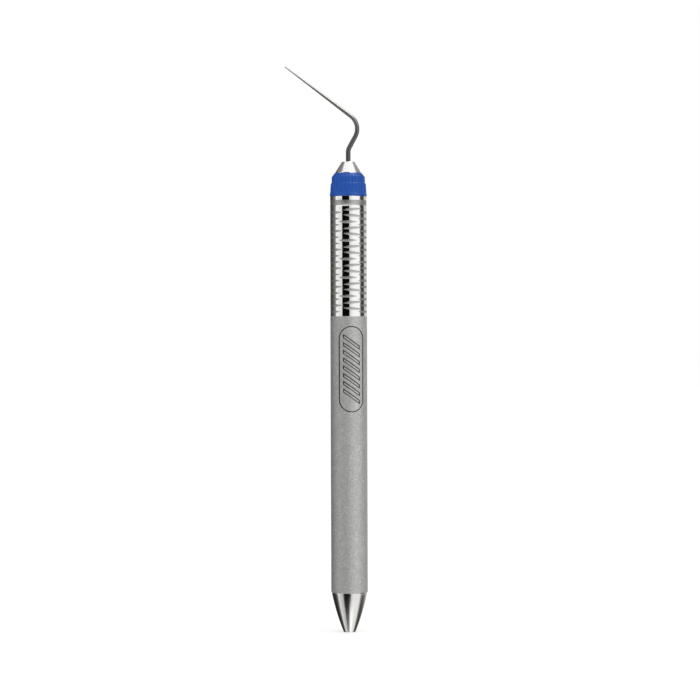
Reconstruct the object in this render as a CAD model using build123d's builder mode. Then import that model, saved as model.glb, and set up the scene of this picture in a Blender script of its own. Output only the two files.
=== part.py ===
from build123d import *
from math import atan, cos, degrees, radians, sin, tan
import os

# Dental hand instrument: a hollow steel handle closed by an end cone at the tail and by a nose cone at
# the front, a moulded colour ring on the nose cone's neck, and a bent, tapered, pointed working end.
#
# Frame, in millimetres: the handle lies on +Z and the origin is the centre of the small flat at its tail.
# The working end bends in the XZ plane, towards -X, and the engraved panel faces -Y.

# ---- handle tube: a satin grip, then a slightly thinner polished front ----
grip_diameter = 9.5
grip_length = 71.5
front_relief = 0.03
front_length = 31.15
tube_wall = 0.57
tube_edge_chamfer = 0.12

# ---- narrow matte band round the polished front ----
band_width = 1.35
band_depth = 0.02
band_to_ring = 1.12

# ---- rows of leaf-shaped cuts on the polished front, counted down from the band ----
leaf_row_pitch = 0.80
leaf_rows_to_band = 1.08
leaf_rows_to_grip = 1.2
leaf_half_angle = 34.0
leaf_depth = 0.06
leaf_half_width = 0.36
leaf_overcut = 1.2
leaves_per_row = 3
leaf_row_turns = (14.0, 70.0, 14.0, 62.0, -2.0, 62.0)

# ---- engraved panel on the satin grip: a rounded frame round a row of slanted lozenges ----
panel_length = 22.3
panel_width = 6.4
panel_line = 0.26
panel_depth = 0.06
panel_turn = 9.0
panel_to_front = 2.5
lozenge_pitch = 2.0
lozenge_width = 1.1
lozenge_slant = 35.0
lozenge_to_frame = 1.0

# ---- end cone: a plug with a convex cone behind it ----
end_cone_length = 10.3
end_cone_inset = 0.2
end_cone_bulge = 0.25
end_flat_diameter = 3.05
end_flat_fillet = 0.2
end_spigot_length = 6.0
spigot_lead_in = 0.4

# ---- colour ring, moulded in two tiers over a bead, with fine upright flutes ----
ring_height = 6.0
ring_bead_height = 0.7
ring_bead_bulge = 0.08
ring_bead_inset = 0.03
ring_lower_height = 2.9
ring_lower_inset = 0.18
ring_step_height = 0.7
ring_step_inset = 0.45
ring_draft = 0.03
ring_shoulder_height = 1.0
ring_shoulder_bulge = 0.1
ring_wall = 1.2
ring_top_land = 0.1
ring_flutes = 28
flute_radius = 0.30
flute_depth = 0.07
flute_margin = 0.1

# ---- nose cone: a plug with the ring's neck, a flange that keeps the ring, and a plain cone ----
nose_spigot_length = 8.0
nose_flange = 0.3
nose_flange_height = 0.12
nose_half_angle = 31.7
nose_tip_land = 1.04
nose_tip_fillet = 0.15

# ---- working end: a straight shank, two bends and a straight tapered tip ----
shank_diameter = 1.22
tang_depth = 8.0
shank_rise = 2.42
first_bend_angle = 28.4
first_bend_radius = 2.9
middle_run = 3.13
second_bend_angle = 81.4
second_bend_radius = 4.2
taper_length = 21.2
taper_diameter = 1.08
tip_diameter = 0.30

# ---- radii and heights that follow from the sizes above ----
grip_radius = grip_diameter / 2
front_radius = grip_radius - front_relief
bore_radius = front_radius - tube_wall
bead_top_radius = grip_radius - ring_bead_inset
lower_ring_radius = grip_radius - ring_lower_inset
upper_ring_radius = grip_radius - ring_step_inset
neck_radius = upper_ring_radius - ring_wall
nose_base_radius = neck_radius + nose_flange
ring_top_radius = nose_base_radius + ring_top_land
shank_radius = shank_diameter / 2
nose_tip_radius = shank_radius + nose_tip_land

grip_start = end_cone_length
grip_end = grip_start + grip_length
tube_end = grip_end + front_length
band_start = tube_end - band_to_ring - band_width
ring_end = tube_end + ring_height
nose_base = ring_end + nose_flange_height
nose_top = nose_base + (nose_base_radius - nose_tip_radius) / tan(radians(nose_half_angle))

first_leaf_row = band_start - leaf_rows_to_band
leaf_rows = round((first_leaf_row - leaf_rows_to_grip - grip_end) / leaf_row_pitch) + 1
panel_middle = grip_end - panel_to_front - panel_length / 2
lozenge_count = round((panel_length - panel_width) / lozenge_pitch)
tool_overreach = 1.0

os.makedirs("parts", exist_ok=True)


def facing(turn):
    """Level direction that is "turn" degrees from the front, -Y, towards +X."""
    return Vector(sin(radians(turn)), -cos(radians(turn)), 0)


def leaf_cuts(turn, heights):
    """Leaves that share one side of the tube: V rings turned about an axis set off from the tube's own,
    so that each cuts deepest at the angle "turn" and runs out to a point leaf_half_angle to either side."""
    axis_offset = leaf_depth / (1 - cos(radians(leaf_half_angle)))
    root = front_radius - leaf_depth + axis_offset
    rim = root + leaf_depth * leaf_overcut
    half_width = leaf_half_width * leaf_overcut
    centre = facing(turn) * -axis_offset
    with BuildPart() as cuts:
        with BuildSketch(Plane(origin=centre, x_dir=facing(turn), z_dir=facing(turn).cross(Vector(0, 0, 1)))):
            for height in heights:
                Polygon((root, height), (rim, height - half_width), (rim, height + half_width))
        revolve(axis=Axis(centre, (0, 0, 1)))
    return cuts.part


def leaf_heights(turn):
    """Heights of the rows whose leaves lie at the angle "turn"."""
    rows = [row for row in range(leaf_rows) if leaf_row_turns[row % len(leaf_row_turns)] == turn]
    return [first_leaf_row - row * leaf_row_pitch for row in rows]


def finish(piece, name):
    """Label a finished piece and write it to its own file."""
    piece.part.label = name
    export_step(piece.part, f"parts/{name}.step")


# ---- end cone ----
with BuildPart() as end_cone:
    spigot_end = grip_start + end_spigot_length
    with BuildSketch(Plane.XZ):
        with BuildLine():
            base_rim = (grip_radius - end_cone_inset, grip_start)
            side = SagittaArc(base_rim, (end_flat_diameter / 2, 0), end_cone_bulge)
            axis_line = Polyline(side @ 1, (0, 0), (0, spigot_end))
            Polyline(axis_line @ 1, (bore_radius, spigot_end), (bore_radius, grip_start), base_rim)
        make_face()
    revolve(axis=Axis.Z)
    fillet(end_cone.edges().group_by(Axis.Z)[0], end_flat_fillet)
    chamfer(end_cone.edges().group_by(Axis.Z)[-1], spigot_lead_in)

# ---- tool that engraves the panel: its outline and lozenges, kept only in the grip's outer skin ----
with BuildPart() as panel_cuts:
    with BuildSketch(Plane(origin=(0, 0, panel_middle), x_dir=(0, 0, 1), z_dir=facing(panel_turn))):
        SlotOverall(panel_length, panel_width)
        SlotOverall(panel_length - 2 * panel_line, panel_width - 2 * panel_line, mode=Mode.SUBTRACT)
        with GridLocations(lozenge_pitch, 0, lozenge_count, 1):
            half_length = panel_width / 2 - lozenge_to_frame
            half_width = lozenge_width / 2
            lean = half_length * tan(radians(lozenge_slant))
            Polygon(
                (-lean - half_width, -half_length),
                (-lean + half_width, -half_length),
                (lean + half_width, half_length),
                (lean - half_width, half_length),
            )
    extrude(amount=grip_radius + tool_overreach)
    with BuildSketch(Plane.XY.offset(grip_start)):
        Circle(grip_radius + tool_overreach)
        Circle(grip_radius - panel_depth, mode=Mode.SUBTRACT)
    extrude(amount=grip_length, mode=Mode.INTERSECT)

# ---- handle tube ----
with BuildPart() as handle_tube:
    with BuildSketch(Plane.XY.offset(grip_start)):
        Circle(grip_radius)
    extrude(amount=grip_length)
    with BuildSketch(Plane.XY.offset(grip_end)):
        Circle(front_radius)
    extrude(amount=front_length)
    outer_rims = handle_tube.edges().filter_by(GeomType.CIRCLE).group_by(Axis.Z)
    chamfer([*outer_rims[0], *outer_rims[-1]], tube_edge_chamfer)
    with BuildSketch(Plane.XY.offset(grip_start)):
        Circle(bore_radius)
    extrude(amount=grip_length + front_length, mode=Mode.SUBTRACT)
    with BuildSketch(Plane.XY.offset(band_start)):
        Circle(grip_radius)
        Circle(front_radius - band_depth, mode=Mode.SUBTRACT)
    extrude(amount=band_width, mode=Mode.SUBTRACT)
    add(panel_cuts.part, mode=Mode.SUBTRACT)
    for row_turn in sorted(set(leaf_row_turns)):
        for leaf in range(leaves_per_row):
            leaf_turn = row_turn + leaf * 360 / leaves_per_row
            add(leaf_cuts(leaf_turn, leaf_heights(row_turn)), mode=Mode.SUBTRACT)

# ---- colour ring ----
with BuildPart() as colour_ring:
    bead_end = tube_end + ring_bead_height
    step_start = tube_end + ring_lower_height
    step_end = step_start + ring_step_height
    with BuildSketch(Plane.XZ):
        with BuildLine():
            bead_start = (grip_radius, tube_end)
            bead = SagittaArc(bead_start, (bead_top_radius, bead_end), -ring_bead_bulge)
            lower_side = Line(bead @ 1, (lower_ring_radius, step_start))
            step = TangentArc(lower_side @ 1, (upper_ring_radius + ring_draft, step_end), tangent=(0, 1))
            upper_side = Line(step @ 1, (upper_ring_radius, ring_end - ring_shoulder_height))
            shoulder = SagittaArc(upper_side @ 1, (ring_top_radius, ring_end), -ring_shoulder_bulge)
            Polyline(shoulder @ 1, (neck_radius, ring_end), (neck_radius, tube_end), bead_start)
        make_face()
    revolve(axis=Axis.Z)
    flute_start = bead_end + flute_margin
    lower_lean = atan((bead_top_radius - lower_ring_radius) / (step_start - bead_end))
    with Locations((0, 0, flute_start)):
        with PolarLocations(bead_top_radius + flute_radius - flute_depth, ring_flutes):
            Cylinder(
                flute_radius,
                (step_end - flute_start) / cos(lower_lean),
                rotation=(0, -degrees(lower_lean), 0),
                align=(Align.CENTER, Align.CENTER, Align.MIN),
                mode=Mode.SUBTRACT,
            )
    with BuildSketch(Plane.XY.offset(step_end + flute_margin)):
        with PolarLocations(upper_ring_radius + flute_radius - flute_depth, ring_flutes):
            Circle(flute_radius)
    extrude(amount=ring_height, mode=Mode.SUBTRACT)

# ---- nose cone ----
with BuildPart() as nose_cone:
    with BuildSketch(Plane.XZ):
        with BuildLine():
            Polyline(
                (0, tube_end - nose_spigot_length),
                (bore_radius, tube_end - nose_spigot_length),
                (bore_radius, tube_end),
                (neck_radius, tube_end),
                (neck_radius, ring_end),
                (nose_base_radius, ring_end),
                (nose_base_radius, nose_base),
                (nose_tip_radius, nose_top),
                (0, nose_top),
                close=True,
            )
        make_face()
    revolve(axis=Axis.Z)
    chamfer(nose_cone.edges().group_by(Axis.Z)[0], spigot_lead_in)
    fillet(nose_cone.edges().group_by(Axis.Z)[-1], nose_tip_fillet)
    with BuildSketch(Plane.XY.offset(nose_top)):
        Circle(shank_radius)
    extrude(amount=-tang_depth, mode=Mode.SUBTRACT)

# ---- working end ----
with BuildPart() as working_end:
    with BuildSketch(Plane.XY.offset(nose_top - tang_depth)):
        Circle(shank_radius)
    extrude(amount=tang_depth + shank_rise)
    with BuildLine(Plane.XZ) as bends:
        first_bend = JernArc((0, nose_top + shank_rise), (0, 1), first_bend_radius, -first_bend_angle)
        middle = PolarLine(first_bend @ 1, middle_run, direction=first_bend % 1)
        second_bend = JernArc(middle @ 1, middle % 1, second_bend_radius, second_bend_angle)
    with BuildSketch(Plane(origin=first_bend @ 0, z_dir=first_bend % 0)):
        Circle(shank_radius)
    with BuildSketch(Plane(origin=second_bend @ 1, z_dir=second_bend % 1)):
        Circle(taper_diameter / 2)
    sweep(path=bends.line, multisection=True)
    taper_angle = atan((taper_diameter - tip_diameter) / 2 / taper_length)
    tip_reach = taper_length + tip_diameter / 2 * (1 / cos(taper_angle) - tan(taper_angle))
    with BuildSketch(Plane(origin=second_bend @ 1, x_dir=second_bend % 1, z_dir=(0, -1, 0))):
        with BuildLine():
            taper = Line((0, taper_diameter / 2), (taper_length, tip_diameter / 2))
            tip = TangentArc(taper @ 1, (tip_reach, 0), tangent=taper % 1)
            Polyline(tip @ 1, (0, 0), taper @ 0)
        make_face()
    revolve(axis=Axis(second_bend @ 1, second_bend % 1))

finish(end_cone, "end_cone")
finish(handle_tube, "handle_tube")
finish(colour_ring, "colour_ring")
finish(nose_cone, "nose_cone")
finish(working_end, "working_end")
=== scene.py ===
from math import atan, cos, pi, radians, sin, tan

import bpy
import numpy as np
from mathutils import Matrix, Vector


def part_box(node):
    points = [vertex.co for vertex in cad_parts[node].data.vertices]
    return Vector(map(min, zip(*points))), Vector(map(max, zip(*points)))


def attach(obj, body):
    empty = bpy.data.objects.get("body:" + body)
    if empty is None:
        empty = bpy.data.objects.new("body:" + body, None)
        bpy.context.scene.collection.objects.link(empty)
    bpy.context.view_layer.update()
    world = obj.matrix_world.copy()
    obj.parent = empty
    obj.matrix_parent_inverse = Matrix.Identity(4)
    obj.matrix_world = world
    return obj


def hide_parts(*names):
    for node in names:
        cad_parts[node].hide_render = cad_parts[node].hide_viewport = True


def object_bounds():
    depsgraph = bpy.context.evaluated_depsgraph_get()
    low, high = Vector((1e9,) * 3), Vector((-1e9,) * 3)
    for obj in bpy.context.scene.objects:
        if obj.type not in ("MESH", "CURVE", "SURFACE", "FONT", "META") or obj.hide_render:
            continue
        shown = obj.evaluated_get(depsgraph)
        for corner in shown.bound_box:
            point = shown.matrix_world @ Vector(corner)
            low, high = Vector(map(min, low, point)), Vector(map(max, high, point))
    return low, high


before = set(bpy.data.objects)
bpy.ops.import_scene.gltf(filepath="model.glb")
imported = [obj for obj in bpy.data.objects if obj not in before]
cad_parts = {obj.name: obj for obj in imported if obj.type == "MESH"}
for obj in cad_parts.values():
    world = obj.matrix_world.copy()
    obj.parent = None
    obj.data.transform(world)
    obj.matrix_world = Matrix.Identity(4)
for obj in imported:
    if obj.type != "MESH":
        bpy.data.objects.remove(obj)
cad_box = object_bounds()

# Dental hand instrument: satin grip, polished front with rows of leaf cuts, blue colour ring, nose cone,
# end cone and a bent, tapered, pointed working end. Sizes are in millimetres and turn to metres only when
# a mesh is made. A "turn" is an angle about the handle's axis, from the front, -Y, towards +X.
MM = 0.001

# ---- heights and radii read from the frame ----
tube_low, tube_high = (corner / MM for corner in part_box("handle_tube"))
ring_low, ring_high = (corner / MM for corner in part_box("colour_ring"))
nose_low, nose_high = (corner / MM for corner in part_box("nose_cone"))
end_low, end_high = (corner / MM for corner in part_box("end_cone"))
grip_start, tube_end = tube_low.z, tube_high.z
ring_end, nose_top = ring_high.z, nose_high.z

# ---- handle tube ----
grip_radius = 4.75
grip_end = 81.8
front_radius = 4.72
bore_radius = 4.15
tube_edge = 0.12
grip_lip = 0.03
lip_bulge = 0.008
edge_round = 0.03

# ---- matte band and leaf cuts on the polished front ----
band_to_ring = 1.12
band_width = 1.35
band_depth = 0.02
band_edge = 0.04
leaf_rows_to_band = 1.08
leaf_pitch = 0.80
leaf_rows = 34
leaf_half_angle = 34.0
leaf_depth = 0.06
leaves_per_row = 3
leaf_turns = (14.0, 70.0, 14.0, 62.0, -2.0, 62.0)
leaf_half_widths = (0.36, 0.36, 0.36, 0.34, 0.50, 0.34)
satin_half_widths = (0.43, 0.42, 0.43, 0.40, 0.40, 0.40)
leaf_rises = (0.40, 0.0, -0.40, 0.0, 0.0, 0.0)
leaf_grid = 0.073
leaf_reach = 0.6
front_columns = 224
round_columns = 192
wire_columns = 48
core_radius = 0.3
end_core_radius = 0.4

# ---- engraved panel on the grip ----
panel_to_front = 2.5
panel_length = 22.3
panel_width = 6.4
panel_line = 0.26
panel_depth = 0.06
panel_turn = 9.0
panel_slope = 0.05
lozenge_pitch = 2.0
lozenge_count = 8
lozenge_width = 1.1
lozenge_half_length = 2.2
lozenge_slant = 35.0
lozenge_line = 0.24
panel_grid = 0.07
panel_reach = 46.0
plain_columns = 72
panel_margin = 0.3
plain_pitches = (2.5, 0.8)

# ---- end cone ----
end_radius = 4.55
end_land = 0.28
end_flat_radius = 1.525
end_flat_round = 0.20
end_bulge = 0.25
spigot_length = 6.0
spigot_lead = 0.4

# ---- colour ring ----
bead_height = 0.7
bead_bulge = 0.073
bead_top_radius = 4.72
lower_radius = 4.57
ring_step = (2.9, 3.6)
upper_radius = 4.30
ring_draft = 0.03
shoulder_height = 1.0
shoulder_bulge = 0.1
ring_top_radius = 3.50
neck_radius = 3.10
flutes = 28
flute_radius = 0.30
flute_depth = 0.09
flute_margin = 0.10
flute_runs = (0.02, 0.20)
flute_columns = (0, 0.55, 1.05, 1.5, 1.9, 2.4, 3.4, 4.8)
step_round = 0.30
shoulder_round = 0.05
ring_grid = 0.1

# ---- nose cone ----
nose_spigot = 8.0
nose_base_radius = 3.40
nose_flange = 0.12
nose_tip_radius = 1.65
nose_tip_round = 0.15

# ---- working end ----
shank_radius = 0.61
tang_depth = 8.0
shank_rise = 2.42
first_bend = (28.4, 2.9)
middle_run = 3.13
second_bend = (81.4, 4.2)
taper_length = 21.2
taper_radius = 0.54
tip_radius = 0.15
tip_clearance = 0.006
mark_length = 1.5
mark_pitch = 0.12

# ---- heights that follow ----
band_high = tube_end - band_to_ring
band_low = band_high - band_width
first_leaf_row = band_low - leaf_rows_to_band
panel_middle = grip_end - panel_to_front - panel_length / 2


# ================================ shapes ================================


def facing(turn):
    """Level unit direction at a turn from the front: its sine along +X and its cosine along -Y."""
    return np.stack([np.sin(turn), -np.cos(turn), np.zeros_like(turn)], axis=-1)


def wrap(angle):
    """The same angle brought to within half a turn of zero."""
    return (angle + pi) % (2 * pi) - pi


def smooth_step(value, low, high):
    """Zero below low, one above high, and three t squared less two t cubed in between."""
    t = np.clip((value - low) / (high - low), 0, 1)
    return t * t * (3 - 2 * t)


def turns(columns):
    """Evenly spaced turns for the columns of a grid, once round the axis."""
    return np.linspace(0, 2 * pi, columns, endpoint=False)


def rounded(corners, steps=6):
    """Profile of radius against height through the corners (radius, height, rounding). Each corner is
    replaced by an arc of its rounding, tangent to both sides: the arc's centre lies on the bisector at
    the rounding over the cosine of half the angle that the profile turns through."""
    points = np.array([corner[:2] for corner in corners], float)
    made = [points[:1]]
    for before, here, after, corner in zip(points[:-2], points[1:-1], points[2:], corners[1:-1]):
        if corner[2] == 0:
            made.append(here[None])
            continue
        into = (here - before) / np.linalg.norm(here - before)
        out = (after - here) / np.linalg.norm(after - here)
        bend = np.arctan2(into[0] * out[1] - into[1] * out[0], into @ out)
        start = here - into * corner[2] * tan(abs(bend) / 2)
        left = np.array([-into[1], into[0]]) * np.sign(bend)
        angle = np.linspace(0, abs(bend), steps + 1)[:, None]
        made.append(start + corner[2] * (np.sin(angle) * into + (1 - np.cos(angle)) * left))
    made.append(points[-1:])
    return np.concatenate(made)


def bulged(start, end, bulge, steps):
    """Arc from start to end that stands out by bulge at its middle, to the right of the way it goes.
    The radius is the half chord squared plus the bulge squared, over twice the bulge."""
    start, end = np.array(start, float), np.array(end, float)
    chord = end - start
    half = np.linalg.norm(chord) / 2
    radius = (half**2 + bulge**2) / (2 * abs(bulge))
    right = np.array([chord[1], -chord[0]]) / (2 * half) * np.sign(bulge)
    centre = (start + end) / 2 - right * (radius - abs(bulge))
    reach = np.arcsin(half / radius)
    angle = np.linspace(-reach, reach, steps + 1)[:, None]
    return centre + radius * (np.cos(angle) * right + np.sin(angle) * chord / (2 * half))


def surface(name, points, node, ring_closed, material, fields=()):
    """Closed mesh from a grid of points in millimetres, rows by columns. Each row is a ring, so its last
    column joins its first. With ring_closed the last row joins the first too, as round a tube's wall.
    Otherwise the first and the last row are each drawn to one pole at the row's mean point.
    fields holds named values for every grid point."""
    rows, columns = points.shape[:2]
    index = np.arange(rows * columns).reshape(rows, columns)
    if ring_closed:
        index = np.concatenate([index, index[:1]])
    beside = np.roll(index, -1, axis=1)
    faces = np.stack([index[:-1], beside[:-1], beside[1:], index[1:]], axis=-1).reshape(-1, 4).tolist()
    vertices = points.reshape(-1, 3)
    if not ring_closed:
        first, last = rows * columns, rows * columns + 1
        vertices = np.concatenate([vertices, points[0].mean(0)[None], points[-1].mean(0)[None]])
        faces += np.stack([np.full(columns, first), beside[0], index[0]], axis=-1).tolist()
        faces += np.stack([index[-1], beside[-1], np.full(columns, last)], axis=-1).tolist()
    mesh = bpy.data.meshes.new(name)
    mesh.from_pydata((vertices * MM).tolist(), [], faces)
    for field, values in dict(fields).items():
        padded = np.zeros(len(vertices), np.float32)
        padded[: rows * columns] = values.ravel()
        mesh.attributes.new(field, "FLOAT", "POINT").data.foreach_set("value", padded)
    mesh.shade_smooth()
    mesh.set_sharp_from_angle(angle=radians(sharp_angle))
    mesh.materials.append(material)
    piece = bpy.data.objects.new(name, mesh)
    bpy.context.scene.collection.objects.link(piece)
    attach(piece, "root")
    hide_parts(node)
    return piece


def turned(profile, columns):
    """Points of a profile of radius against height carried once about the handle's axis."""
    level = facing(columns)[None] * profile[:, 0, None, None]
    return level + np.array([0, 0, 1.0]) * profile[:, 1, None, None]


def spaced(low, high, pitch):
    """Heights from low to high, about a pitch apart."""
    return np.linspace(low, high, int(round((high - low) / pitch)) + 1)


sharp_angle = 38.0


# ================================ finishes ================================


def linear(hex_colour):
    """A written sRGB colour as linear light: the value over 12.92 when dark, otherwise the value plus
    0.055 over 1.055 to the power 2.4."""
    written = np.array([int(hex_colour[i : i + 2], 16) for i in (1, 3, 5)]) / 255
    light = np.where(written <= 0.04045, written / 12.92, ((written + 0.055) / 1.055) ** 2.4)
    return (*light, 1.0)


def grains(size_mm):
    """Scale of a pattern on Object coordinates whose grains are that many millimetres apart."""
    return 1000 / size_mm


def add(tree, kind, sockets=(), **settings):
    """One node with its own settings. sockets maps each input to a value or to another node's output."""
    made = tree.nodes.new(kind)
    for setting, value in settings.items():
        setattr(made, setting, value)
    for socket, value in dict(sockets).items():
        if isinstance(value, bpy.types.NodeSocket):
            tree.links.new(value, made.inputs[socket])
        else:
            made.inputs[socket].default_value = value
    return made


def blank(name):
    """A named material with an empty node tree and its output node."""
    material = bpy.data.materials.new(name)
    material.use_nodes = True
    material.node_tree.nodes.clear()
    return material, material.node_tree, material.node_tree.nodes.new("ShaderNodeOutputMaterial")


def bead_blasted_steel():
    """Stainless steel blasted with fine glass beads: a dull silver grey with a soft wide highlight and a
    faint mottle. The dents are about 0.05 mm, too fine to show, so they are drawn 0.38 mm across. The
    engraved lines are burnt dark by the laser, with a slightly uneven edge."""
    material, tree, output = blank("bead_blasted_stainless_steel")
    place = add(tree, "ShaderNodeTexCoord").outputs["Object"]
    dents = add(tree, "ShaderNodeTexNoise", {"Vector": place, "Scale": grains(0.38), "Detail": 3.0})
    clouds = add(tree, "ShaderNodeTexNoise", {"Vector": place, "Scale": grains(1.6), "Detail": 2.0})
    line = add(tree, "ShaderNodeAttribute", attribute_name="engraved_gap").outputs["Fac"]
    ragged = add(
        tree, "ShaderNodeMath", {0: dents.outputs["Fac"], 1: 0.06, 2: line}, operation="MULTIPLY_ADD"
    )
    burnt = add(
        tree,
        "ShaderNodeMapRange",
        {"Value": ragged.outputs[0], "From Min": 0.08, "From Max": -0.02},
        interpolation_type="SMOOTHSTEP",
    ).outputs["Result"]
    spread = add(
        tree, "ShaderNodeMapRange", {"Value": dents.outputs["Fac"], "From Min": 0.3, "From Max": 0.7}
    ).outputs["Result"]
    mottle = add(
        tree,
        "ShaderNodeMix",
        {0: clouds.outputs["Fac"], 6: linear("#CACAC8"), 7: linear("#F2F2F0")},
        data_type="RGBA",
    ).outputs[2]
    speckle = add(
        tree, "ShaderNodeMix", {0: spread, 6: linear("#BFBFBD"), 7: mottle}, data_type="RGBA"
    ).outputs[2]
    colour = add(
        tree, "ShaderNodeMix", {0: burnt, 6: speckle, 7: linear("#3C3A38")}, data_type="RGBA"
    ).outputs[2]
    roughness = add(
        tree,
        "ShaderNodeMapRange",
        {"Value": dents.outputs["Fac"], "From Min": 0.3, "From Max": 0.7, "To Min": 0.62, "To Max": 0.74},
    ).outputs["Result"]
    relief = add(
        tree,
        "ShaderNodeBump",
        {"Height": dents.outputs["Fac"], "Strength": 1.0, "Distance": 0.012 * MM},
    )
    steel = add(
        tree,
        "ShaderNodeBsdfPrincipled",
        {"Base Color": colour, "Metallic": 1.0, "Roughness": roughness, "Normal": relief.outputs["Normal"]},
    )
    tree.links.new(steel.outputs[0], output.inputs["Surface"])
    return material


def polished_steel():
    """Stainless steel turned and mirror polished: white and black reflections with crisp edges. The leaf
    cuts and the narrow band are left satin, so they read grey over a bright reflection and light over a
    dark one. Fine rings about the axis, 0.02 mm apart on the real one, are drawn 0.25 mm apart."""
    material, tree, output = blank("mirror_polished_stainless_steel")
    place = add(tree, "ShaderNodeTexCoord").outputs["Object"]
    rings = add(
        tree,
        "ShaderNodeTexNoise",
        {"W": add(tree, "ShaderNodeSeparateXYZ", {0: place}).outputs["Z"], "Scale": grains(0.25)},
        noise_dimensions="1D",
    )
    blast = add(tree, "ShaderNodeTexNoise", {"Vector": place, "Scale": grains(0.30), "Detail": 2.0})
    leaf = add(tree, "ShaderNodeAttribute", attribute_name="leaf_satin").outputs["Fac"]
    band = add(tree, "ShaderNodeAttribute", attribute_name="matte_band").outputs["Fac"]
    dulled = add(
        tree,
        "ShaderNodeMapRange",
        {"Value": leaf, "From Min": -0.15, "From Max": 0.35},
        interpolation_type="SMOOTHSTEP",
    ).outputs["Result"]
    greyed = add(
        tree,
        "ShaderNodeMapRange",
        {"Value": leaf, "From Min": 0.0, "From Max": 0.30},
        interpolation_type="SMOOTHSTEP",
    ).outputs["Result"]
    dull = add(tree, "ShaderNodeMath", {0: dulled, 1: band}, operation="MAXIMUM").outputs[0]
    cut = add(
        tree, "ShaderNodeMix", {0: greyed, 6: linear("#F7F6F4"), 7: linear("#BEBEBC")}, data_type="RGBA"
    ).outputs[2]
    colour = add(tree, "ShaderNodeMix", {0: band, 6: cut, 7: linear("#B9B9B7")}, data_type="RGBA").outputs[2]
    satin = add(
        tree,
        "ShaderNodeMapRange",
        {"Value": blast.outputs["Fac"], "From Min": 0.3, "From Max": 0.7, "To Min": 0.40, "To Max": 0.50},
    ).outputs["Result"]
    mirror = add(
        tree,
        "ShaderNodeMapRange",
        {"Value": rings.outputs["Fac"], "From Min": 0.3, "From Max": 0.7, "To Min": 0.05, "To Max": 0.08},
    ).outputs["Result"]
    roughness = add(tree, "ShaderNodeMix", {0: dull, 2: mirror, 3: satin}, data_type="FLOAT").outputs[0]
    relief = add(
        tree,
        "ShaderNodeBump",
        {"Height": rings.outputs["Fac"], "Strength": 1.0, "Distance": 0.0006 * MM},
    )
    steel = add(
        tree,
        "ShaderNodeBsdfPrincipled",
        {"Base Color": colour, "Metallic": 1.0, "Roughness": roughness, "Normal": relief.outputs["Normal"]},
    )
    tree.links.new(steel.outputs[0], output.inputs["Surface"])
    return material


def turned_steel():
    """Stainless steel turned on a lathe and buffed: bright, with the reflections a little drawn out along
    the axis by the tool's rings. They are 0.03 mm apart, and are drawn 0.22 mm apart to show."""
    material, tree, output = blank("turned_buffed_stainless_steel")
    place = add(tree, "ShaderNodeTexCoord").outputs["Object"]
    height = add(tree, "ShaderNodeSeparateXYZ", {0: place}).outputs["Z"]
    rings = add(
        tree, "ShaderNodeTexNoise", {"W": height, "Scale": grains(0.22), "Detail": 4.0}, noise_dimensions="1D"
    )
    wear = add(tree, "ShaderNodeTexNoise", {"Vector": place, "Scale": grains(1.2), "Detail": 3.0})
    colour = add(
        tree,
        "ShaderNodeMix",
        {0: wear.outputs["Fac"], 6: linear("#DEDDDA"), 7: linear("#E7E6E4")},
        data_type="RGBA",
    ).outputs[2]
    roughness = add(
        tree,
        "ShaderNodeMapRange",
        {"Value": rings.outputs["Fac"], "From Min": 0.25, "From Max": 0.75, "To Min": 0.13, "To Max": 0.21},
    ).outputs["Result"]
    relief = add(
        tree,
        "ShaderNodeBump",
        {"Height": rings.outputs["Fac"], "Strength": 1.0, "Distance": 0.004 * MM},
    )
    steel = add(
        tree,
        "ShaderNodeBsdfPrincipled",
        {"Base Color": colour, "Metallic": 1.0, "Roughness": roughness, "Normal": relief.outputs["Normal"]},
    )
    tree.links.new(steel.outputs[0], output.inputs["Surface"])
    return material


def ground_steel():
    """Hardened steel ground to shape and left satin: dark grey with a soft lengthwise sheen. Along the taper
    its colour is painted lighter, standing in for the floor's reflection on the taper's lower side and a
    stronger highlight on its upper side. The grinding marks follow the wire, 0.02 mm apart, and are drawn
    0.12 mm apart."""
    material, tree, output = blank("hardened_ground_steel")
    along = add(tree, "ShaderNodeAttribute", attribute_name="along").outputs["Fac"]
    around = add(tree, "ShaderNodeAttribute", attribute_name="around").outputs["Fac"]
    marks = add(
        tree,
        "ShaderNodeTexNoise",
        {"Vector": add(tree, "ShaderNodeCombineXYZ", {0: around, 1: along}).outputs[0], "Scale": 1.0},
    )
    wire_tone = add(
        tree,
        "ShaderNodeMix",
        {0: marks.outputs["Fac"], 6: linear("#646463"), 7: linear("#757472")},
        data_type="RGBA",
    ).outputs[2]
    # Painted light: this share turns the wire to a lighter colour along the taper, standing in for the
    # floor's reflection and a stronger highlight there.
    fine = add(tree, "ShaderNodeAttribute", attribute_name="painted_taper_light").outputs["Fac"]
    colour = add(
        tree, "ShaderNodeMix", {0: fine, 6: wire_tone, 7: linear("#A5A4A1")}, data_type="RGBA"
    ).outputs[2]
    roughness = add(
        tree,
        "ShaderNodeMapRange",
        {"Value": marks.outputs["Fac"], "From Min": 0.3, "From Max": 0.7, "To Min": 0.28, "To Max": 0.38},
    ).outputs["Result"]
    relief = add(
        tree,
        "ShaderNodeBump",
        {"Height": marks.outputs["Fac"], "Strength": 1.0, "Distance": 0.003 * MM},
    )
    steel = add(
        tree,
        "ShaderNodeBsdfPrincipled",
        {"Base Color": colour, "Metallic": 1.0, "Roughness": roughness, "Normal": relief.outputs["Normal"]},
    )
    tree.links.new(steel.outputs[0], output.inputs["Surface"])
    return material


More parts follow.
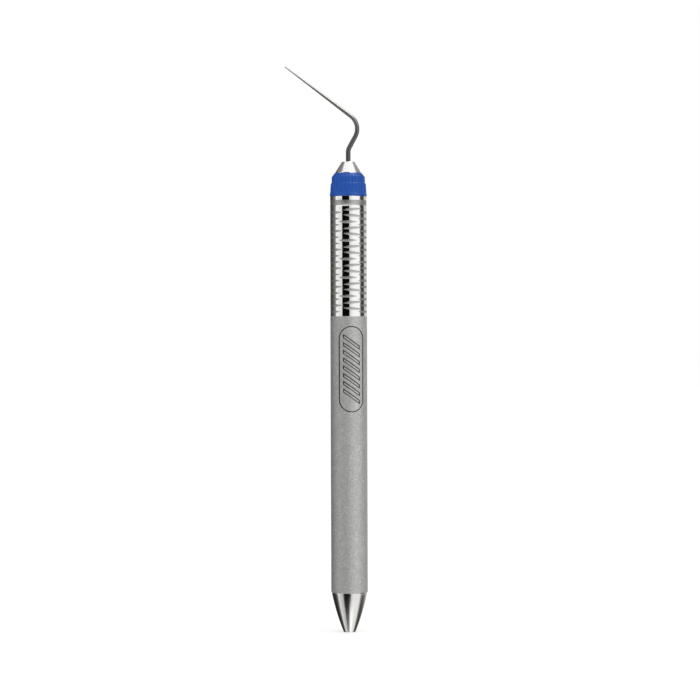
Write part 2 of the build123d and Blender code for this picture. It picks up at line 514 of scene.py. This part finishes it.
def moulded_silicone():
    """Blue silicone rubber from a finely spark-eroded mould: an even saturated blue with a soft broken
    sheen. The mould's texture is 0.03 mm, and is drawn 0.22 mm across."""
    material, tree, output = blank("moulded_blue_silicone")
    place = add(tree, "ShaderNodeTexCoord").outputs["Object"]
    skin = add(tree, "ShaderNodeTexNoise", {"Vector": place, "Scale": grains(0.22), "Detail": 3.0})
    cloud = add(tree, "ShaderNodeTexNoise", {"Vector": place, "Scale": grains(1.8), "Detail": 2.0})
    colour = add(
        tree,
        "ShaderNodeMix",
        {0: cloud.outputs["Fac"], 6: linear("#0848A2"), 7: linear("#0C54AE")},
        data_type="RGBA",
    ).outputs[2]
    roughness = add(
        tree,
        "ShaderNodeMapRange",
        {"Value": skin.outputs["Fac"], "From Min": 0.3, "From Max": 0.7, "To Min": 0.32, "To Max": 0.44},
    ).outputs["Result"]
    relief = add(
        tree,
        "ShaderNodeBump",
        {"Height": skin.outputs["Fac"], "Strength": 1.0, "Distance": 0.006 * MM},
    )
    rubber = add(
        tree,
        "ShaderNodeBsdfPrincipled",
        {
            "Base Color": colour,
            "Roughness": roughness,
            "IOR": 1.41,
            "Subsurface Weight": 0.15,
            "Subsurface Radius": (0.2, 0.3, 1.0),
            "Subsurface Scale": 0.3 * MM,
            "Normal": relief.outputs["Normal"],
        },
    )
    tree.links.new(rubber.outputs[0], output.inputs["Surface"])
    return material


# ================================ handle ================================


def panel_gap(columns, heights):
    """How far each point of the grip lies from the panel's burnt lines, and how far from its cuts, in
    millimetres and below zero inside. Across is the point's distance beside the panel's middle, seen
    square on, and up is its height over it. The frame's distance is that to a rounded bar: from the end
    circles' middles, less half the width. A lozenge's is the larger of the distance beyond its ends and
    the distance beyond its slanted sides times the cosine of the slant."""
    turn = wrap(columns - radians(panel_turn))[None]
    across = grip_radius * np.sin(turn) + 0 * heights[:, None]
    up = heights[:, None] - panel_middle + 0 * turn
    straight = (panel_length - panel_width) / 2
    bar = np.hypot(np.maximum(np.abs(up) - straight, 0), across) - panel_width / 2
    frame_gap = np.abs(bar + panel_line / 2) - panel_line / 2
    slant = radians(lozenge_slant)
    middles = (np.arange(lozenge_count) - (lozenge_count - 1) / 2) * lozenge_pitch
    sideways = np.abs(up[..., None] + across[..., None] * tan(slant) - middles).min(-1)
    lozenge = np.maximum(np.abs(across) - lozenge_half_length, (sideways - lozenge_width / 2) * cos(slant))
    behind = np.where(np.cos(turn) > 0, 0, 2 * panel_width)
    cut_gap = np.minimum(frame_gap, lozenge) + behind
    line_gap = np.minimum(frame_gap, np.abs(lozenge + lozenge_line / 2) - lozenge_line / 2) + behind
    return line_gap, cut_gap


def make_grip(material):
    """Satin grip: a tube whose outer radius drops by the panel's depth, over a soft edge, inside the cuts.
    Its columns and heights are close together over the panel and wide apart elsewhere."""
    reach = radians(panel_reach)
    fine = np.linspace(-reach, reach, int(2 * reach * grip_radius / panel_grid))
    plain = np.linspace(reach, 2 * pi - reach, plain_columns + 2)[1:-1]
    columns = np.concatenate([fine, plain]) + radians(panel_turn)
    panel_foot = panel_middle - panel_length / 2 - panel_margin
    panel_head = panel_middle + panel_length / 2 + panel_margin
    heights = np.concatenate(
        [
            spaced(grip_start + tube_edge + edge_round, panel_foot - 1, plain_pitches[0]),
            spaced(panel_foot, panel_head, panel_grid),
            spaced(panel_head + 0.5, grip_end - 2 * grip_lip, plain_pitches[1]),
        ]
    )
    wall = np.stack([np.full(len(heights), grip_radius), heights], axis=-1)
    foot = rounded(
        [
            (bore_radius, grip_start, 0),
            (grip_radius - tube_edge, grip_start, edge_round),
            (grip_radius, grip_start + tube_edge, edge_round),
            (grip_radius, heights[0], 0),
        ]
    )[:-1]
    lip = bulged((grip_radius, grip_end - grip_lip), (grip_radius - grip_lip, grip_end), lip_bulge, 3)
    top = np.array([[bore_radius, grip_end]])
    profile = np.concatenate([foot, wall, lip, top])
    points = turned(profile, columns)
    line_gap, cut_gap = panel_gap(columns, profile[:, 1])
    outside = (profile[:, 0] == grip_radius)[:, None]
    sunk = panel_depth * (1 - smooth_step(cut_gap, -panel_slope, 0.01)) * outside
    points -= facing(columns)[None] * sunk[..., None]
    fields = {"engraved_gap": line_gap}
    return surface("satin_grip", points, "handle_tube", True, material, fields)


def leaf_field(columns, heights, half_widths):
    """Share of a leaf's full depth at each point, below zero outside the leaves: one, less the angle's
    fall (one less its cosine, over the same for the half angle), less the height's distance from the
    leaf's line over the half width. A leaf's line rises a little along it. The deepest leaf counts."""
    deepest = np.full((len(heights), len(columns)), -1.0)
    fall = 1 - cos(radians(leaf_half_angle))
    share = 2 * pi / leaves_per_row
    for row in range(leaf_rows):
        kind = row % len(leaf_turns)
        offset = (columns - radians(leaf_turns[kind]) + share / 2) % share - share / 2
        slope = leaf_rises[kind] / (2 * radians(leaf_half_angle))
        line = first_leaf_row - row * leaf_pitch + slope * offset
        away = np.abs(heights[:, None] - line[None]) / half_widths[kind]
        deepest = np.maximum(deepest, 1 - ((1 - np.cos(offset)) / fall)[None] - away)
    return deepest


def make_front(material):
    """Polished front: a tube whose outer radius drops by the leaf's depth times the leaf field, and by
    the band's depth inside the matte band."""
    columns = turns(front_columns)
    lowest_leaf = first_leaf_row - (leaf_rows - 1) * leaf_pitch
    edge = band_edge / 2
    rim_foot = tube_end - tube_edge - edge_round
    heights = np.concatenate(
        [
            [grip_end, (grip_end + lowest_leaf) / 2 - 0.1],
            spaced(lowest_leaf - leaf_reach, first_leaf_row + leaf_reach, leaf_grid),
            [band_low - edge, band_low + edge, (band_low + band_high) / 2],
            [band_high - edge, band_high + edge, tube_end - band_to_ring / 2, rim_foot],
        ]
    )
    wall = np.stack([np.full(len(heights), front_radius), heights], axis=-1)
    rim = rounded(
        [
            (front_radius, heights[-1], 0),
            (front_radius, tube_end - tube_edge, edge_round),
            (front_radius - tube_edge, tube_end, edge_round),
            (bore_radius, tube_end, 0),
        ],
        steps=3,
    )[1:]
    profile = np.concatenate([wall, rim, [[bore_radius, grip_end]]])
    outside = (profile[:, 0] == front_radius)[:, None]
    leaf = np.where(outside, leaf_field(columns, profile[:, 1], leaf_half_widths), -1.0)
    satin = np.where(outside, leaf_field(columns, profile[:, 1], satin_half_widths), -1.0)
    up = smooth_step(profile[:, 1], band_low - edge, band_low + edge)
    down = smooth_step(profile[:, 1], band_high - edge, band_high + edge)
    band = (up * (1 - down))[:, None] * outside + 0 * leaf
    sunk = leaf_depth * np.clip(leaf, 0, 1) + band_depth * band
    points = turned(profile, columns) - facing(columns)[None] * sunk[..., None]
    fields = {"leaf_satin": satin, "matte_band": band}
    return surface("polished_front", points, "handle_tube", True, material, fields)


def make_end_cone(material):
    """End cone: a flat tail, a rounded edge, a side that bulges outwards to a narrow upright land under
    the grip, then the plug inside the tube."""
    shoulder = end_high.z - spigot_length
    side = bulged((end_flat_radius, 0), (end_radius, shoulder - end_land), end_bulge, 48)
    lowest = side[side[:, 1] > 2 * end_flat_round][0]
    foot = rounded([(end_core_radius, 0, 0), (end_flat_radius, 0, end_flat_round), (*lowest, 0)])
    plug = rounded(
        [
            (end_radius, shoulder - end_land, 0),
            (end_radius, shoulder, edge_round),
            (bore_radius, shoulder, 0),
            (bore_radius, end_high.z - spigot_lead, 0),
            (bore_radius - spigot_lead, end_high.z, 0),
            (end_core_radius, end_high.z, 0),
        ]
    )[1:]
    profile = np.concatenate([foot, side[side[:, 1] > lowest[1]], plug])
    points = turned(profile, turns(round_columns))
    return surface("end_cone_turned", points, "end_cone", False, material)


def make_nose_cone(material):
    """Nose cone: the plug in the tube, the neck inside the ring, a thin flange over the ring, a plain cone
    and the hole that holds the shank. The flange's upper edge is where the cone starts."""
    plug_start = tube_end - nose_spigot
    hole_end = nose_top - tang_depth
    profile = rounded(
        [
            (core_radius, plug_start, 0),
            (bore_radius - spigot_lead, plug_start, 0),
            (bore_radius, plug_start + spigot_lead, 0),
            (bore_radius, tube_end, 0),
            (neck_radius, tube_end, 0),
            (neck_radius, ring_end, 0),
            (nose_base_radius, ring_end, edge_round),
            (nose_base_radius, ring_end + nose_flange, edge_round),
            (nose_tip_radius, nose_top, nose_tip_round),
            (shank_radius, nose_top, 0),
            (shank_radius, hole_end, 0),
            (core_radius, hole_end, 0),
        ]
    )
    points = turned(profile, turns(round_columns))
    return surface("nose_cone_polished", points, "nose_cone", False, material)


def make_ring(material):
    """Colour ring: a rounded bead, a lower tier, a step, an upper tier and a shoulder, turned about the
    axis. Each upright flute is a round groove: where its circle, set off outwards from the side, passes
    inside the profile, the surface takes the circle's near side instead. The circle leans in with the
    lower tier's side, which is the bead's radius less its share of the taper."""
    low, high = tube_end, ring_end
    step_low, step_high = low + ring_step[0], low + ring_step[1]
    bead = bulged((grip_radius, low), (bead_top_radius, low + bead_height), bead_bulge, 10)
    step = rounded(
        [
            (bead_top_radius, low + bead_height, 0),
            (lower_radius, step_low + step_round, step_round),
            (upper_radius + ring_draft, step_high - step_round / 3, step_round / 3),
            (upper_radius, high - shoulder_height, step_round / 3),
            (ring_top_radius + shoulder_bulge, high - shoulder_bulge, shoulder_round),
            (ring_top_radius, high, 0),
        ],
        steps=8,
    )[1:]
    inside = np.array([[neck_radius, high], [neck_radius, low]])
    sides = np.concatenate([bead, step])
    heights = np.union1d(sides[:, 1], spaced(low + bead_height, high - shoulder_height, ring_grid))
    radii = np.interp(heights, sides[:, 1], sides[:, 0])
    profile = np.concatenate([np.stack([radii, heights], axis=-1), inside])
    period = 2 * pi / flutes
    half = np.array(flute_columns)
    within = radians(1) * np.concatenate([-half[:0:-1], half, [np.degrees(period) / 2]])
    columns = (np.arange(flutes)[:, None] * period + within[None]).ravel()
    offset = np.tile(within, flutes)[None]
    upper = profile[:, 1, None] > step_high - flute_margin
    lean = (profile[:, 1, None] - low - bead_height) / (ring_step[0] - bead_height)
    lower_side = bead_top_radius + (lower_radius - bead_top_radius) * lean
    axis_radius = np.where(upper, upper_radius, lower_side) + flute_radius - flute_depth
    reach = np.clip(flute_radius**2 - (axis_radius * np.sin(offset)) ** 2, 0, None)
    near_side = axis_radius * np.cos(offset) - np.sqrt(reach)
    fluted = smooth_step(profile[:, 1, None] - low - bead_height, *flute_runs)
    cut = np.clip(profile[:, 0, None] - near_side, 0, None) * (reach > 0) * fluted
    cut *= (profile[:, 0] > neck_radius)[:, None]
    points = turned(profile, columns) - facing(columns)[None] * cut[..., None]
    return surface("blue_ring", points, "colour_ring", True, material)


# ================================ working end ================================


def make_working_end(material):
    """Working end: a round wire carried along a flat path of a straight, two bends and a straight taper.
    The path is the running sum of its direction over short steps of length, and its direction turns by
    the step over the bend's radius. The wire's radius falls evenly over the bends and then to the tip,
    whose end is round: the square root of the tip's radius squared less the distance past it squared."""
    start = nose_top - tang_depth
    lengths = [
        tang_depth + shank_rise,
        radians(first_bend[0]) * first_bend[1],
        middle_run,
        radians(second_bend[0]) * second_bend[1],
        taper_length,
    ]
    ends = np.cumsum(lengths)
    lean = atan((taper_radius - tip_radius) / taper_length)
    cap = tip_radius * (1 / cos(lean) - tan(lean)) - tip_clearance
    stations = np.concatenate(
        [
            np.linspace(0, ends[0], 10),
            np.linspace(ends[0], ends[1], 24)[1:],
            np.linspace(ends[1], ends[2], 8)[1:],
            np.linspace(ends[2], ends[3], 64)[1:],
            np.linspace(ends[3], ends[4], 40)[1:],
            ends[4] + cap * np.sin(np.linspace(0, pi / 2, 9))[1:-1],
        ]
    )
    bend_1 = np.clip((stations - ends[0]) / (ends[1] - ends[0]), 0, 1) * radians(first_bend[0])
    bend_2 = np.clip((stations - ends[2]) / (ends[3] - ends[2]), 0, 1) * radians(second_bend[0])
    heading = bend_1 - bend_2
    way = np.stack([np.sin(heading), np.zeros_like(heading), np.cos(heading)], axis=-1)
    step = np.diff(stations)[:, None]
    turn = np.diff(heading)[:, None]
    middle_heading = (heading[1:] + heading[:-1])[:, None] / 2
    chord = step * np.sinc(turn / (2 * pi))
    middle_way = [np.sin(middle_heading), 0 * middle_heading, np.cos(middle_heading)]
    run = chord * np.concatenate(middle_way, axis=1)
    path = np.concatenate([[[0, 0, 0]], np.cumsum(run, axis=0)]) + np.array([0, 0, start])
    radius = np.interp(
        stations, [0, ends[0], ends[3], ends[4]], [shank_radius, shank_radius, taper_radius, tip_radius]
    )
    past = np.clip((stations - ends[4]) / cap, 0, 1)
    radius *= np.sqrt(1 - past**2)
    columns = turns(wire_columns)
    side = np.stack([way[:, 2], way[:, 1], -way[:, 0]], axis=-1)
    front = np.array([0, -1.0, 0])
    ring = side[:, None] * np.sin(columns)[None, :, None] + front * np.cos(columns)[None, :, None]
    points = path[:, None] + ring * radius[:, None, None]
    fields = {
        "along": stations[:, None] / mark_length + 0 * columns,
        # Painted light: rises over the second bend to one along the taper, where the wire's colour is painted
        # lighter for the floor's reflection and a stronger highlight.
        "painted_taper_light": smooth_step(stations, ends[2], ends[3])[:, None] + 0 * columns,
        "around": np.abs(wrap(columns))[None] * shank_radius / mark_pitch + 0 * stations[:, None],
    }
    return surface("working_end_ground", points, "working_end", False, material, fields)


polished = polished_steel()
turned_finish = turned_steel()
make_grip(bead_blasted_steel())
make_front(polished)
make_end_cone(turned_finish)
make_nose_cone(polished)
make_ring(moulded_silicone())
make_working_end(ground_steel())


# ================================ studio ================================

studio_middle = Vector((0, 0, (cad_box[0].z + cad_box[1].z) / 2))
lamp_distance = 1.5
ambient = 0.80
floor_half = 4.0
floor_lift = 0.29

scene = bpy.context.scene
scene.view_settings.view_transform = "Standard"


def make_flag(name, distance, shade, turn_range, turn_fade, rise_range, rise_fade, strength=1.0):
    """Curved studio flag: part of an upright cylinder about the object, seen only in reflections. It
    covers fully between its two turns and its two elevations, and fades out beyond them over its soft
    edges: four smooth steps multiplied. A height is the distance times the elevation's tangent."""
    turn = np.linspace(turn_range[0] - turn_fade[0], turn_range[1] + turn_fade[1], 161)
    rise = np.linspace(rise_range[0] - rise_fade[0], rise_range[1] + rise_fade[1], 61)
    across = smooth_step(turn, turn[0], turn_range[0]) * smooth_step(-turn, -turn[-1], -turn_range[1])
    up = smooth_step(rise, rise[0], rise_range[0]) * smooth_step(-rise, -rise[-1], -rise_range[1])
    cover = up[:, None] * across
    height = distance * np.tan(np.radians(rise))
    points = distance * facing(np.radians(turn))[None] + np.array([0, 0, 1.0]) * height[:, None, None]
    points = points + np.array(studio_middle)
    index = np.arange(cover.size).reshape(cover.shape)
    faces = np.stack([index[:-1, :-1], index[:-1, 1:], index[1:, 1:], index[1:, :-1]], axis=-1).reshape(-1, 4)
    mesh = bpy.data.meshes.new(name)
    mesh.from_pydata(points.reshape(-1, 3).tolist(), [], faces.tolist())
    mesh.attributes.new("cover", "FLOAT", "POINT").data.foreach_set("value", cover.ravel().astype(np.float32))
    material, tree, output = blank(name + "_cloth")
    share = add(tree, "ShaderNodeAttribute", attribute_name="cover").outputs["Fac"]
    glow = add(tree, "ShaderNodeEmission", {"Color": linear(shade), "Strength": strength}).outputs[0]
    clear = add(tree, "ShaderNodeBsdfTransparent").outputs[0]
    mixed = add(tree, "ShaderNodeMixShader", {0: share, 1: clear, 2: glow}).outputs[0]
    tree.links.new(mixed, output.inputs["Surface"])
    mesh.materials.append(material)
    flag = bpy.data.objects.new(name, mesh)
    scene.collection.objects.link(flag)
    flag.visible_camera = False
    flag.visible_diffuse = False
    flag.visible_transmission = False
    flag.visible_shadow = False


def make_lamp(name, turn, elevation, size, radiance):
    """Square soft lamp turned to the object. Its power is pi times its area times its radiance. It isn't
    seen in reflections: the white surroundings stand for it there."""
    way = Vector(facing(np.array(radians(turn)))) * cos(radians(elevation))
    way.z = sin(radians(elevation))
    light = bpy.data.lights.new(name, "AREA")
    light.shape = "SQUARE"
    light.size = size
    light.energy = pi * size**2 * radiance
    lamp = bpy.data.objects.new(name, light)
    scene.collection.objects.link(lamp)
    lamp.location = studio_middle + way * lamp_distance
    lamp.rotation_mode = "QUATERNION"
    lamp.rotation_quaternion = way.to_track_quat("Z", "Y")
    lamp.visible_glossy = False


def make_world():
    """White surroundings: strength 1 for what the camera, a reflection or a clear body sees, and the
    plain ambient level for everything else."""
    world = bpy.data.worlds.new("white_studio")
    world.use_nodes = True
    scene.world = world
    tree = world.node_tree
    tree.nodes.clear()
    output = tree.nodes.new("ShaderNodeOutputWorld")
    path = add(tree, "ShaderNodeLightPath").outputs
    mirrored = add(
        tree, "ShaderNodeMath", {0: path["Is Camera Ray"], 1: path["Is Glossy Ray"]}, operation="MAXIMUM"
    ).outputs[0]
    seen = add(
        tree, "ShaderNodeMath", {0: mirrored, 1: path["Is Transmission Ray"]}, operation="MAXIMUM"
    ).outputs[0]
    level = add(
        tree, "ShaderNodeMapRange", {"Value": seen, "To Min": ambient, "To Max": 1.0}
    ).outputs["Result"]
    sky = add(tree, "ShaderNodeBackground", {"Color": linear("#FFFFFF"), "Strength": level})
    tree.links.new(sky.outputs[0], output.inputs["Surface"])


def make_floor():
    """Plain pale floor under the tail. The camera also gets a little light of its own from it, so that it
    runs into the white behind, and its shadow stays."""
    corners = [(floor_half * x, floor_half * y, 0) for x, y in ((-1, -1), (1, -1), (1, 1), (-1, 1))]
    mesh = bpy.data.meshes.new("floor")
    mesh.from_pydata(corners, [], [(0, 1, 2, 3)])
    material, tree, output = blank("pale_studio_floor")
    seen = add(tree, "ShaderNodeLightPath").outputs["Is Camera Ray"]
    lift = add(tree, "ShaderNodeMath", {0: seen, 1: floor_lift}, operation="MULTIPLY").outputs[0]
    paint = add(
        tree,
        "ShaderNodeBsdfPrincipled",
        {
            "Base Color": linear("#F3F3F2"),
            "Roughness": 0.9,
            "Specular IOR Level": 0.1,
            "Emission Color": linear("#FFFFFF"),
            "Emission Strength": lift,
        },
    )
    tree.links.new(paint.outputs[0], output.inputs["Surface"])
    mesh.materials.append(material)
    floor = bpy.data.objects.new("floor", mesh)
    scene.collection.objects.link(floor)
    floor.visible_glossy = False


make_world()
make_floor()
# Each flag: name, distance, shade, turns and their soft edges, elevations and their soft edges, and a
# strength where it isn't 1. Turns and elevations are in degrees and distances in metres.
flags = (
    ("front_black_flag", 1.10, "#080808", (-39.5, 5), (2.5, 2.5), (-33, 14), (42, 16)),
    ("low_black_flag", 1.09, "#080808", (-43, 9), (3, 3), (-33, -24), (6, 8)),
    ("low_front_fill", 1.06, "#FFFFFF", (6, 34), (12, 10), (-62, -44), (4, 12), 1.35),
    ("left_net", 1.20, "#CDCDCC", (-47, -38), (46, 4), (-62, -25), (15, 60)),
    ("right_net", 1.22, "#DEDEDD", (1, 8), (4, 26), (-62, 50), (15, 15)),
    ("left_low_flag", 1.14, "#282827", (-142, -121), (14, 38), (-62, -22), (6, 12)),
    ("left_dark_flag", 1.16, "#464543", (-168, -118), (8, 19), (-62, 20), (15, 14)),
    ("left_grey_flag", 1.18, "#7C7B79", (-168, -94), (8, 13), (-62, 40), (15, 18)),
    ("left_high_flag", 1.17, "#807D7A", (-160, -100), (8, 55), (38, 48), (10, 14)),
    ("right_grey_flag", 1.16, "#424241", (85, 109), (15, 14), (-10, 34), (10, 12)),
    ("right_back_net", 1.20, "#CECECD", (112, 168), (8, 8), (-62, 34), (15, 12)),
    ("right_low_flag", 1.14, "#4A4A49", (97, 146), (26, 14), (-62, -24), (6, 12)),
    ("right_high_flag", 1.18, "#9A9896", (100, 165), (24, 8), (24, 44), (8, 12)),
    ("high_front_box", 1.04, "#FFFFFF", (34, 66), (12, 10), (48, 64), (8, 7), 5.0),
    ("high_side_box", 1.02, "#FFFFFF", (66, 140), (10, 12), (64, 74), (6, 6), 6.0),
)
for flag in flags:
    make_flag(*flag)
make_lamp("right_soft_lamp", 48, 18, 1.1, 1.15)
make_lamp("left_soft_lamp", -66, 18, 0.9, 0.95)

# ---- camera: level, long lens, a touch off upright ----
camera_aim = (0.31, 73.1)
camera_distance = 681.0
camera_roll = 0.18

camera = bpy.data.objects.new("camera", bpy.data.cameras.new("camera"))
scene.collection.objects.link(camera)
camera.data.lens = 135
camera.data.sensor_width = 36
camera.data.clip_start = 0.01
camera.data.clip_end = 100
camera.location = (camera_aim[0] * MM, -camera_distance * MM, camera_aim[1] * MM)
camera.rotation_euler = (radians(90), radians(camera_roll), 0)
scene.camera = camera
